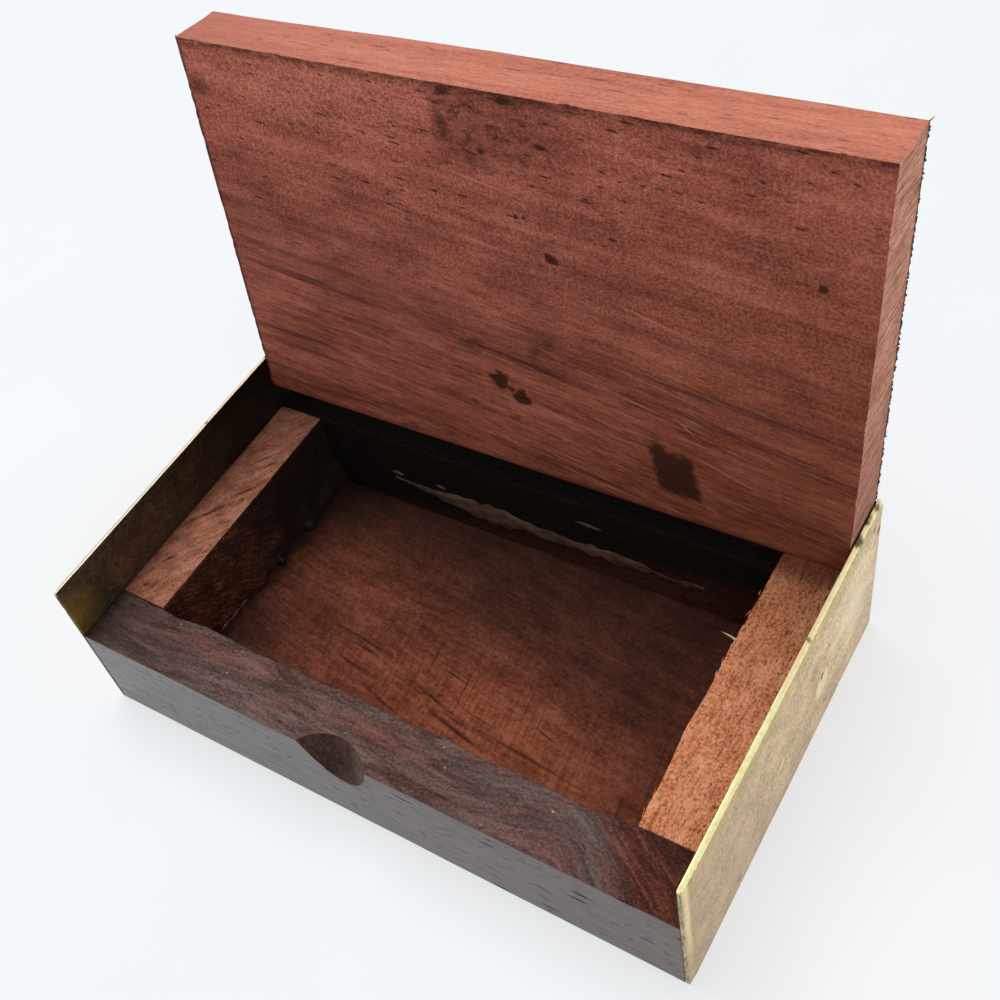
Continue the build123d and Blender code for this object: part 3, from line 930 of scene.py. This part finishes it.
# The torn fibres' dark browns are painted shadow of the torn edge
SHADOWED_TORN_WOOD = fibre_wood("torn_wood_painted_shadow", (0.035, 0.016, 0.012), (0.14, 0.066, 0.046))
FRONT_WOODS = [rail_face_wood("front_face_wood", 1.0), rail_top_wood(), notch_wood()]
BACK_WOODS = [rail_face_wood("back_face_wood", 0.35), back_rail_wood()]
LEFT_WOODS = [left_top_wood(), left_wall_wood()]
KNOT_RESIN = knot_resin()
RIGHT_WOOD = right_block_wood()
SPLINTER_WOOD = fibre_wood("splinter_wood", (0.50, 0.33, 0.21), (0.80, 0.60, 0.42))
FLOOR_WOOD = floor_wood()
PLATE_BRASS = [outer_brass(), edge_brass(), inner_brass()]
PIN_BRASS = pin_brass()
GLUES = [
    glue("glue_film", (0.05, 0.027, 0.016), (0.13, 0.074, 0.047)),
    glue("glue_rim", (0.15, 0.09, 0.06), (0.32, 0.21, 0.145)),
]

# Pieces. Grid steps are finer near a box's edges, and a flat cell keeps noise even along its axis.

EDGE_STEPS = [0.15 * MM, 0.2 * MM, 0.35 * MM, 0.5 * MM]
PLATE_EDGE_STEPS = [0.12 * MM, 0.14 * MM, 0.2 * MM]
FLAT = 1000.0


def attach(piece, body, slot, *nodes):
    if nodes:
        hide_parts(*nodes)
    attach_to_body(piece, body)


def corners(node):
    return [np.array(corner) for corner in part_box(node)]


def worn_slab(node, step, wear, seed):
    """A piece's box with unevenly worn edges."""
    low, high = corners(node)
    points, quads = slab(low, high, (step,) * 3, EDGE_STEPS)
    radius = wear * (1 + 0.6 * wobble(points, (6, 6, 6), seed))
    return eased(points, low, high, radius), quads, low, high


def open_out(piece):
    """Turn a piece that was built shut, round the hinge, to where the open lid stands."""
    piece.matrix_world = Matrix.Translation(PIVOT) @ Matrix.Rotation(OPEN_TURN, 4, "X")


LID_ROLL = 0.76 * LID_BACK * MM
LID_SKEW = 0.5 * MM
LID_TAPER = 1.4 * MM
LID_RIM = 0.9 * MM
LID_CHIP = 0.5 * MM
LID_RAG = 0.25 * MM
LID_WEAR = 0.25 * MM
LID_FIBRES = 210
LID_SPLINTERS = [
    # side, height, length and inset of the splinters at the front corners
    (-1, LID_UNDER, 0.7, 0.3),
    (1, 3.0, 1.3, 0.8),
]


def lid_faces(normals):
    """Which of the lid's woods a face has: underside, edge, end or outer face."""
    faces = np.where(normals[:, 2] < 0, 0, 3)
    faces = np.where(np.abs(normals[:, 1]) > 0.75, 1, faces)
    return np.where(np.abs(normals[:, 0]) > 0.6, 2, faces)


def lid_slab():
    """Sawn slab, out of square and thinner at the left. Its lower back edge clears the back rail."""
    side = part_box("lid")[1].x
    low = np.array((-side, LID_FRONT * MM, LID_UNDER * MM))
    high = np.array((side, LID_BACK * MM, LID_TOP * MM))
    points, quads = slab(low, high, (0.8 * MM, 0.7 * MM, 0.7 * MM), EDGE_STEPS)
    middle = np.array((high[1] - LID_ROLL, low[2] + LID_ROLL))
    out = points[:, 1:] - middle
    reach = np.maximum(np.linalg.norm(out, axis=1), TINY)
    in_corner = (out[:, 0] > 0) & (out[:, 1] < 0) & (reach > LID_ROLL)
    points[in_corner, 1:] = (middle + out * (LID_ROLL / reach)[:, None])[in_corner]
    worn = LID_WEAR * (1 + 0.7 * wobble(points, (5, 5, 5), 3))
    keep = points[:, 1] > -0.5 * MM
    points = np.where(keep[:, None], points, eased(points, low, high, worn))
    rag = np.maximum(0, wobble(points, (9, 0.9, 3.0), 11)) * LID_RAG
    left = ramp01(points[:, 0], low[0] + LID_RIM, low[0])
    outer = ramp01(points[:, 0], high[0] - LID_RIM, high[0]) * ramp01(points[:, 2], high[2] - MM, high[2])
    points[:, 0] += (left - outer) * rag
    forward = np.clip(points[:, 1] / low[1], 0, 1)
    points[:, 0] -= LID_SKEW * forward * ramp01(points[:, 0], high[0] - 4 * MM, high[0])
    rise = (points[:, 2] - low[2]) / (high[2] - low[2])
    points[:, 2] -= LID_TAPER * rise * ramp01(points[:, 0], 0, low[0])
    chip = np.maximum(0, wobble(points, (3.5, 9, 9), 13) - 0.1) * LID_CHIP
    front = ramp01(points[:, 1], low[1] + LID_RIM, low[1]) * ramp01(points[:, 2], low[2] + LID_RIM, low[2])
    points[:, 1] += front * chip * 0.6
    points[:, 2] += front * chip
    piece = mesh_object("lid_slab", points, quads, LID_WOODS, lid_faces)
    open_out(piece)
    attach(piece, "lid", "lid_wood", "lid")


def lid_fibres():
    """Torn fibres along the lid's right outer end edge and splinters at its front corners."""
    draw = np.random.default_rng(5)
    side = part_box("lid")[1].x
    parts = []
    for y in draw.uniform(LID_FRONT + 1, -1, LID_FIBRES):
        end = side - LID_SKEW * y / LID_FRONT
        start = (end - 0.25 * MM, y * MM, (LID_TOP - 0.3) * MM)
        along = (0.7, draw.uniform(-1.0, 1.0), draw.uniform(0.0, 0.4))
        parts.append(sliver(start, along, draw.uniform(0.3, 0.55) * MM, draw.uniform(0.5, 0.95) * MM))
    for sign, z, length, inset in LID_SPLINTERS:
        start = (sign * (side - inset * MM), (LID_FRONT + 0.3) * MM, (z + 0.2) * MM)
        parts.append(sliver(start, (0.5 * sign, -0.6, 0.2), length * MM, 0.35 * MM))
    piece = mesh_object("lid_torn_fibres", *joined(parts), [SHADOWED_TORN_WOOD])
    open_out(piece)
    attach(piece, "lid", "lid_wood")


NOTCH_TOP = Vector((-3.2, -35.9, RAIL_TOP)) * MM
NOTCH_RADIUS = 9.5 * MM
NOTCH_TILT = math.radians(26.0)
NOTCH_LEAN = math.tan(math.radians(10.0))
CHIP_REACH = 3 * MM


def front_rail():
    """Its inner top edge is chipped and wavy, most of all near the right end."""
    points, quads, low, high = worn_slab("front_rail", 0.8 * MM, 0.25 * MM, 21)
    x = points[:, 0]
    lost = 0.25 + 0.25 * wobble(points, (7, FLAT, FLAT), 22) + 0.12 * wobble(points, (1.6, FLAT, FLAT), 23)
    lost = (lost + 0.3 * ramp01(x, 12 * MM, 26 * MM) * ramp01(x, 50 * MM, 38 * MM)) * MM
    back = ramp01(points[:, 1], high[1] - CHIP_REACH, high[1])
    near = back * ramp01(points[:, 2], high[2] - CHIP_REACH, high[2])
    points[:, 1] -= near * lost
    points[:, 2] -= near * lost * 0.5
    piece = mesh_object("front_rail_wood", points, quads, FRONT_WOODS, lambda n: n[:, 2] > 0.6)
    along = Vector((-NOTCH_LEAN, math.tan(NOTCH_TILT), 1)).normalized()
    middle = NOTCH_TOP + NOTCH_RADIUS * Vector((0, -math.cos(NOTCH_TILT), math.sin(NOTCH_TILT)))
    reach = along * 2 * (high[2] - low[2])
    scoop = tube(middle - reach, middle + reach, (NOTCH_RADIUS, NOTCH_RADIUS), 96)
    cut_away(piece, scoop, paint=2)
    attach(piece, "box", "dark_rail_wood", "front_rail")


def back_rail():
    points, quads, *_ = worn_slab("back_rail", 0.9 * MM, 0.3 * MM, 31)
    piece = mesh_object("back_rail_wood", points, quads, BACK_WOODS, lambda n: n[:, 1] < 0.6)
    attach(piece, "box", "dark_rail_wood", "back_rail")


LUMP_DEPTH = 2.4 * MM
TEAR_DEPTH = 0.16 * MM
KNOT_PLACES = (2.1, 13.0)
KNOT_SWELL = 1.3 * MM
KNOT_RADIUS = 1.35 * MM
KNOT_PROFILE = [
    # share of the length, share of the radius
    (0.0, 1.0),
    (0.55, 1.0),
    (0.78, 0.85),
    (0.92, 0.55),
    (1.0, 0.1),
]


def left_block():
    """Tan on top, with a dark torn inner face that bulges at its foot."""
    points, quads, low, high = worn_slab("left_end_block", 0.6 * MM, 0.3 * MM, 41)
    wall = ramp01(points[:, 0], high[0] - 1.2 * MM, high[0])
    foot = ramp01(points[:, 2], low[2] + 10 * MM, low[2] + 0.5 * MM)
    lump = np.maximum(0, wobble(points, (9, 5, 4), 42)) * LUMP_DEPTH * foot
    for y in KNOT_PLACES:
        lump += KNOT_SWELL * foot * np.exp(-((points[:, 1] / MM - y) / 3.0) ** 2)
    torn = wobble(points, (9, 1.5, 1.2), 43) * TEAR_DEPTH
    inside = ramp01(points[:, 2], high[2], high[2] - 1.5 * MM)
    points[:, 0] += wall * (lump + torn * inside)
    piece = mesh_object("left_block", points, quads, LEFT_WOODS, lambda n: n[:, 0] > 0.5)
    attach(piece, "box", "end_block_wood", "left_end_block")


def left_block_knots():
    """Two dull dark lumps at the foot of the torn inner face."""
    low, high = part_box("left_end_block")
    shares, radii = zip(*KNOT_PROFILE)
    parts = []
    for y in KNOT_PLACES:
        start = (high.x - MM, y * MM, low.z + 1.6 * MM)
        end = (high.x + 2.7 * MM, (y - 0.3) * MM, low.z + 1.0 * MM)
        parts.append(tube(start, end, [KNOT_RADIUS * radius for radius in radii], 24, shares))
    points, faces = joined(parts)
    points = np.array(points)
    points[:, 1] += 0.45 * MM * wobble(points, (1.3, 1.3, 1.3), 44)
    points[:, 2] += 0.40 * MM * wobble(points, (1.1, 1.1, 1.1), 45)
    piece = mesh_object("left_block_knots", points, faces, [KNOT_RESIN], sharp=70)
    attach(piece, "box", "end_block_wood")


def right_block():
    """Its inner top edge is torn and wavy. Past the floor it runs down to the table and on to the back."""
    points, quads, low, high = worn_slab("right_end_block", 0.6 * MM, 0.25 * MM, 51)
    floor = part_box("bottom_panel")[1]
    wall = ramp01(points[:, 0], low[0] + 2.5 * MM, low[0]) * ramp01(points[:, 1], floor.y, floor.y - 3 * MM)
    wave = 0.45 * wobble(points, (FLAT, 9, 30), 52) + 0.16 * wobble(points, (FLAT, 1.8, 3), 53)
    lean = 0.35 - 0.7 * (points[:, 1] - low[1]) / (floor.y - low[1])
    points[:, 0] += wall * (wave + lean) * MM
    piece = mesh_object("right_block", points, quads, [RIGHT_WOOD])
    overrun = 4 * MM
    under = slab(low - overrun, (high[0] + overrun, floor.y, floor.z), (1, 1, 1), [MM])
    cut_away(piece, under)
    attach(piece, "box", "end_block_wood", "right_end_block")


SPLINTER_SHARES = (0.03, 0.10, 0.36, 0.42, 0.55, 0.60, 0.64, 0.67, 0.83, 0.9)
BENT_SPLINTER_SHARE = 0.71


def right_block_fibres():
    """Splinters lying along the torn edge, one of them bent into the box."""
    draw = np.random.default_rng(7)
    low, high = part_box("right_end_block")
    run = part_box("bottom_panel")[1].y - low.y
    parts = []
    for share in SPLINTER_SHARES:
        start = (low.x + (0.6 - share) * MM, low.y + share * run, high.z - 0.25 * MM)
        along = (-draw.uniform(0.1, 0.35), draw.choice((-1, 1)), 0.0)
        length = draw.uniform(1.0, 2.2) * MM
        parts.append(sliver(start, along, length, draw.uniform(0.2, 0.35) * MM, 0.1 * MM))
    piece = mesh_object("right_block_fibres", *joined(parts), [RIGHT_WOOD])
    attach(piece, "box", "end_block_wood")
    bent = (low.x - 0.1 * MM, low.y + BENT_SPLINTER_SHARE * run, high.z - 0.3 * MM)
    splinter = sliver(bent, (-1.0, 0.35, -0.1), 3.4 * MM, 0.5 * MM, 0.6 * MM)
    attach(mesh_object("right_block_splinter", *splinter, [SPLINTER_WOOD]), "box", "end_block_wood")


def floor_panel():
    """Its top carries faint saw ridges."""
    points, quads, _, high = worn_slab("bottom_panel", 1.0 * MM, 0.2 * MM, 61)
    top = ramp01(points[:, 2], high[2] - 0.3 * MM, high[2])
    points[:, 2] -= top * 0.06 * MM * (1 + wobble(points, (1.2, 25, 9), 62))
    piece = mesh_object("floor_panel", points, quads, [FLOOR_WOOD])
    attach(piece, "box", "floor_wood", "bottom_panel")


PIN_NODES = [name for name in frame["nodes"] if name.endswith("_pin")]
PLATE_WEAR = 0.26 * MM
PLATE_RIM = 1.2 * MM
PLATE_WAVE = 0.03 * MM
DENT_DEPTH = 0.2 * MM
NICK_DEPTH = 0.4 * MM
FILED_REACH = 2.6 * MM
PIVOT_PLAY = 0.06 * MM
FIXING_PLAY = 0.01 * MM
PIN_PROFILE = [
    # share of the length, share of the radius
    (0.0, 0.9),
    (0.03, 1.0),
    (0.992, 1.0),
    (0.998, 0.97),
    (1.0, 0.4),
]


def side_plate(side, front_filing, bevel):
    """Brass sheet with pin holes. Its front edge is filed thinner, by a share, and its top bevelled."""
    sign = -1 if side == "left" else 1
    node = side + "_side_plate"
    low, high = corners(node)
    points, quads = slab(low, high, (0.4 * MM, 0.8 * MM, 0.8 * MM), PLATE_EDGE_STEPS)
    worn = PLATE_WEAR * (1 + 0.3 * wobble(points, (9, 9, 9), 71))
    points = eased(points, low, high, worn)
    up = ramp01(points[:, 2], high[2] - PLATE_RIM, high[2])
    fore = ramp01(points[:, 1], low[1] + PLATE_RIM, low[1])
    dent = np.maximum(0, wobble(points, (9, 2.0, 9), 72) - 0.6) * DENT_DEPTH
    nick = np.maximum(0, wobble(points, (9, 9, 2.2), 73) - 0.4) * NICK_DEPTH
    points[:, 2] -= up * (dent + 2 * PLATE_WAVE * (1 + wobble(points, (9, 14, 9), 74)))
    points[:, 1] += fore * nick
    filed = front_filing * ramp01(points[:, 1], low[1] + FILED_REACH, low[1])
    inner = high[0] if sign < 0 else low[0]
    outward = np.abs(points[:, 0] - inner) / (high[0] - low[0])
    points[:, 2] -= bevel * outward ** 2 * ramp01(points[:, 2], high[2] - 2.5 * bevel, high[2])
    points[:, 0] = inner + (points[:, 0] - inner) * (1 - filed)
    points[:, 0] -= sign * PLATE_WAVE * (1 + wobble(points, (9, 10, 8), 75))
    below_bevel = points[quads].mean(1)[:, 2] < high[2] - 0.9 * bevel

    def plate_faces(normals):
        """Which brass a face has: outer, edge or inner."""
        facing = normals[:, 0] * sign
        return np.where((facing > 0.8) & below_bevel, 0, np.where(facing < -0.75, 2, 1))

    piece = mesh_object(side + "_plate_brass", points, quads, PLATE_BRASS, plate_faces)
    reach = Vector((4 * MM, 0, 0))
    for name in PIN_NODES:
        if name.startswith(side):
            pin_low, pin_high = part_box(name)
            centre = (pin_low + pin_high) / 2
            centre.x = (low[0] + high[0]) / 2
            play = PIVOT_PLAY if "pivot" in name else FIXING_PLAY
            radius = (pin_high.z - pin_low.z) / 2 + play
            cut_away(piece, tube(centre - reach, centre + reach, (radius, radius), 40))
    attach(piece, "box", "plate_brass", node)


def pin(node):
    """Rod end filed flush with the plate, slightly burred."""
    low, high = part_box(node)
    middle = (low + high) / 2
    radius = (high.z - low.z) / 2
    inner, outer = (high.x, low.x) if node.startswith("left") else (low.x, high.x)
    shares, radii = zip(*PIN_PROFILE)
    start = (inner, middle.y, middle.z)
    end = (outer, middle.y, middle.z)
    rod = tube(start, end, [radius * share for share in radii], 40, shares)
    turns = "pivot" in node
    brass_kind = PIN_BRASS if turns else PLATE_BRASS[0]
    piece = mesh_object(node + "_rod", *rod, [brass_kind], sharp=60)
    body = "lid" if turns else "box"
    attach(piece, body, "pin_brass", node)


def bead(path, halves, out, thick):
    """A low ridge of glue: half ellipses along a path, standing out from the wall behind it."""
    turns = np.linspace(0, math.pi, 9)
    points, faces = [], []
    for spot, half in zip(path, halves):
        for turn in turns:
            rise = Vector((0, 0, -half * math.cos(turn)))
            points.append(Vector(spot) + rise + Vector(out) * thick * half * (math.sin(turn) - 0.3))
    count = len(turns)
    for row, k in itertools.product(range(len(path) - 1), range(count)):
        a, b = row * count + k, row * count + (k + 1) % count
        faces.append([a, a + count, b + count, b])
    faces += [list(range(count)), list(range(len(points) - count, len(points)))[::-1]]
    return points, faces


GLUE_LINE = [
    # x, height of its middle and half height
    (-36.0, 10.6, 0.3),
    (-30.0, 9.9, 0.7),
    (-22.0, 9.4, 1.6),
    (-14.5, 9.1, 2.9),
    (-7.6, 9.1, 2.6),
    (-3.0, 9.2, 1.7),
    (0.0, 8.9, 1.3),
    (3.9, 9.2, 2.4),
    (7.8, 9.2, 1.3),
    (12.4, 9.2, 1.7),
    (18.5, 9.2, 1.6),
    (22.8, 9.4, 1.8),
    (25.5, 9.4, 0.4),
    (29.5, 9.0, 0.3),
    (32.5, 8.8, 0.9),
    (36.6, 9.4, 0.3),
]
GLUE_SMEARS = [
    # x, height and length
    (12.0, 17.0, 6.0),
    (-23.8, 12.6, 2.4),
    (-35.0, 12.4, 3.0),
]
GLUE_FOOT = (-19.0, -9.5)


def tapered(steps):
    """Half heights that round off towards both ends of a run of steps from -1 to 1."""
    return np.sqrt(1.02 - steps ** 2)


def glue_runs():
    """A wavy run along the back rail, smears round it and a thin run at the left block's foot."""
    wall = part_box("back_rail")[0].y
    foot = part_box("left_end_block")[1].x
    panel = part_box("bottom_panel")[1].z
    knots, middles, halves = zip(*GLUE_LINE)
    xs = np.arange(knots[0], knots[-1], 0.5)
    line = np.stack([xs * MM, xs * 0, xs * 0], 1)
    heights = np.interp(xs, knots, middles) + 0.35 * wobble(line, (5, FLAT, FLAT), 81)
    sizes = np.interp(xs, knots, halves) * (1 + 0.3 * wobble(line, (2, FLAT, FLAT), 82))
    path = [(x * MM, wall, z * MM) for x, z in zip(xs, heights)]
    parts = [bead(path, sizes * MM, (0, -1, 0), 0.16)]
    steps = np.linspace(-1, 1, 9)
    for x, z, length in GLUE_SMEARS:
        path = [((x + step * length / 2) * MM, wall, (z - 0.1 * step) * MM) for step in steps]
        parts.append(bead(path, 0.5 * MM * tapered(steps), (0, -1, 0), 0.3))
    ys = np.linspace(*GLUE_FOOT, 20)
    path = [(foot + 0.3 * MM, y * MM, panel + 0.35 * MM) for y in ys]
    sizes = 0.55 * MM * (0.75 + 0.5 * np.sin(ys * 1.7)) * tapered(np.linspace(-1, 1, len(ys)))
    parts.append(bead(path[::-1], sizes[::-1], (1, 0, 0), 0.8))
    piece = mesh_object("glue_runs", *joined(parts), GLUES, lambda n: np.abs(n[:, 2]) > 0.8, sharp=80)
    attach(piece, "box", None)


lid_slab()
lid_fibres()
front_rail()
back_rail()
left_block()
left_block_knots()
right_block()
right_block_fibres()
floor_panel()
side_plate("left", 0.3, 0.3 * MM)
side_plate("right", 0.2, 1.1 * MM)
for node in PIN_NODES:
    pin(node)
glue_runs()

# Camera, floor and light

CAMERA_EYE = Vector((0.1046, -0.1070, 0.2155))
CAMERA_AIM = Vector((-0.0035, -0.0004, 0.0419))
CAMERA_ROLL = math.radians(-17.03)
GROUND_REACH = 4.0


def camera():
    lens = bpy.data.cameras.new("camera")
    lens.lens = 46.44
    lens.sensor_width = 36
    lens.shift_x = 0.0766
    lens.shift_y = 0.0251
    lens.clip_start = 0.01
    view = bpy.data.objects.new("camera", lens)
    level = (CAMERA_AIM - CAMERA_EYE).to_track_quat("-Z", "Y").to_matrix().to_4x4()
    view.matrix_world = Matrix.Translation(CAMERA_EYE) @ level @ Matrix.Rotation(CAMERA_ROLL, 4, "Z")
    bpy.context.scene.collection.objects.link(view)
    bpy.context.scene.camera = view


def seen_rays(tree):
    """1 for rays from the camera or from a glossy or clear surface."""
    path = tree.nodes.new("ShaderNodeLightPath")
    total = path.outputs["Is Camera Ray"]
    for ray in ("Is Glossy Ray", "Is Transmission Ray"):
        either = tree.nodes.new("ShaderNodeMath")
        either.operation = "MAXIMUM"
        tree.links.new(total, either.inputs[0])
        tree.links.new(path.outputs[ray], either.inputs[1])
        total = either.outputs[0]
    return total


def ground():
    """Pale floor. Part of its brightness to the camera is its own, so that its shadows stay soft."""
    sh = Shader("ground_white")
    sh.base(sh.noise((60, 60, 60)), (0, 1), (0.86, 0.88, 0.91), (0.90, 0.92, 0.95))
    sh.finish(0.95, gloss=0.0)
    glow = sh.node("Emission", {"Color": (0.97, 0.99, 1.0, 1), "Strength": 1.0})
    share = Field(sh, seen_rays(sh.tree)) * 0.6
    both = sh.node("MixShader", {0: share, 1: sh.bsdf.outputs[0], 2: glow.outputs[0]})
    out = next(n for n in sh.tree.nodes if n.type == "OUTPUT_MATERIAL")
    sh.tree.links.new(both.outputs[0], out.inputs["Surface"])
    reach = GROUND_REACH
    square = [(-reach, -reach, 0), (reach, -reach, 0), (reach, reach, 0), (-reach, reach, 0)]
    mesh_object("ground", square, [(0, 1, 2, 3)], [sh.material])


def surroundings():
    """Even pale sky, which the camera and reflections see as nearly white."""
    world = bpy.data.worlds.new("world")
    world.use_nodes = True
    tree = world.node_tree
    sky = next(n for n in tree.nodes if n.type == "BACKGROUND")
    sky.inputs["Color"].default_value = (0.94, 0.97, 1.0, 1)
    level = tree.nodes.new("ShaderNodeMapRange")
    tree.links.new(seen_rays(tree), level.inputs["Value"])
    level.inputs["To Min"].default_value = 0.46
    level.inputs["To Max"].default_value = 1.0
    tree.links.new(level.outputs[0], sky.inputs["Strength"])
    bpy.context.scene.world = world


def light(name, spot, aim, size, power):
    lamp = bpy.data.lights.new(name, "AREA")
    lamp.shape = "DISK"
    lamp.size = size
    lamp.energy = power
    holder = bpy.data.objects.new(name, lamp)
    holder.location = spot
    holder.rotation_euler = (Vector(aim) - Vector(spot)).to_track_quat("-Z", "Y").to_euler()
    bpy.context.scene.collection.objects.link(holder)


camera()
ground()
surroundings()
light("key", (-0.25, 0.10, 0.85), (0, 0, 0.03), 0.7, 4.1)
light("fill", (0.55, -0.35, 0.45), (0, 0, 0.04), 0.5, 1.2)
bpy.context.scene.view_settings.view_transform = "Standard"
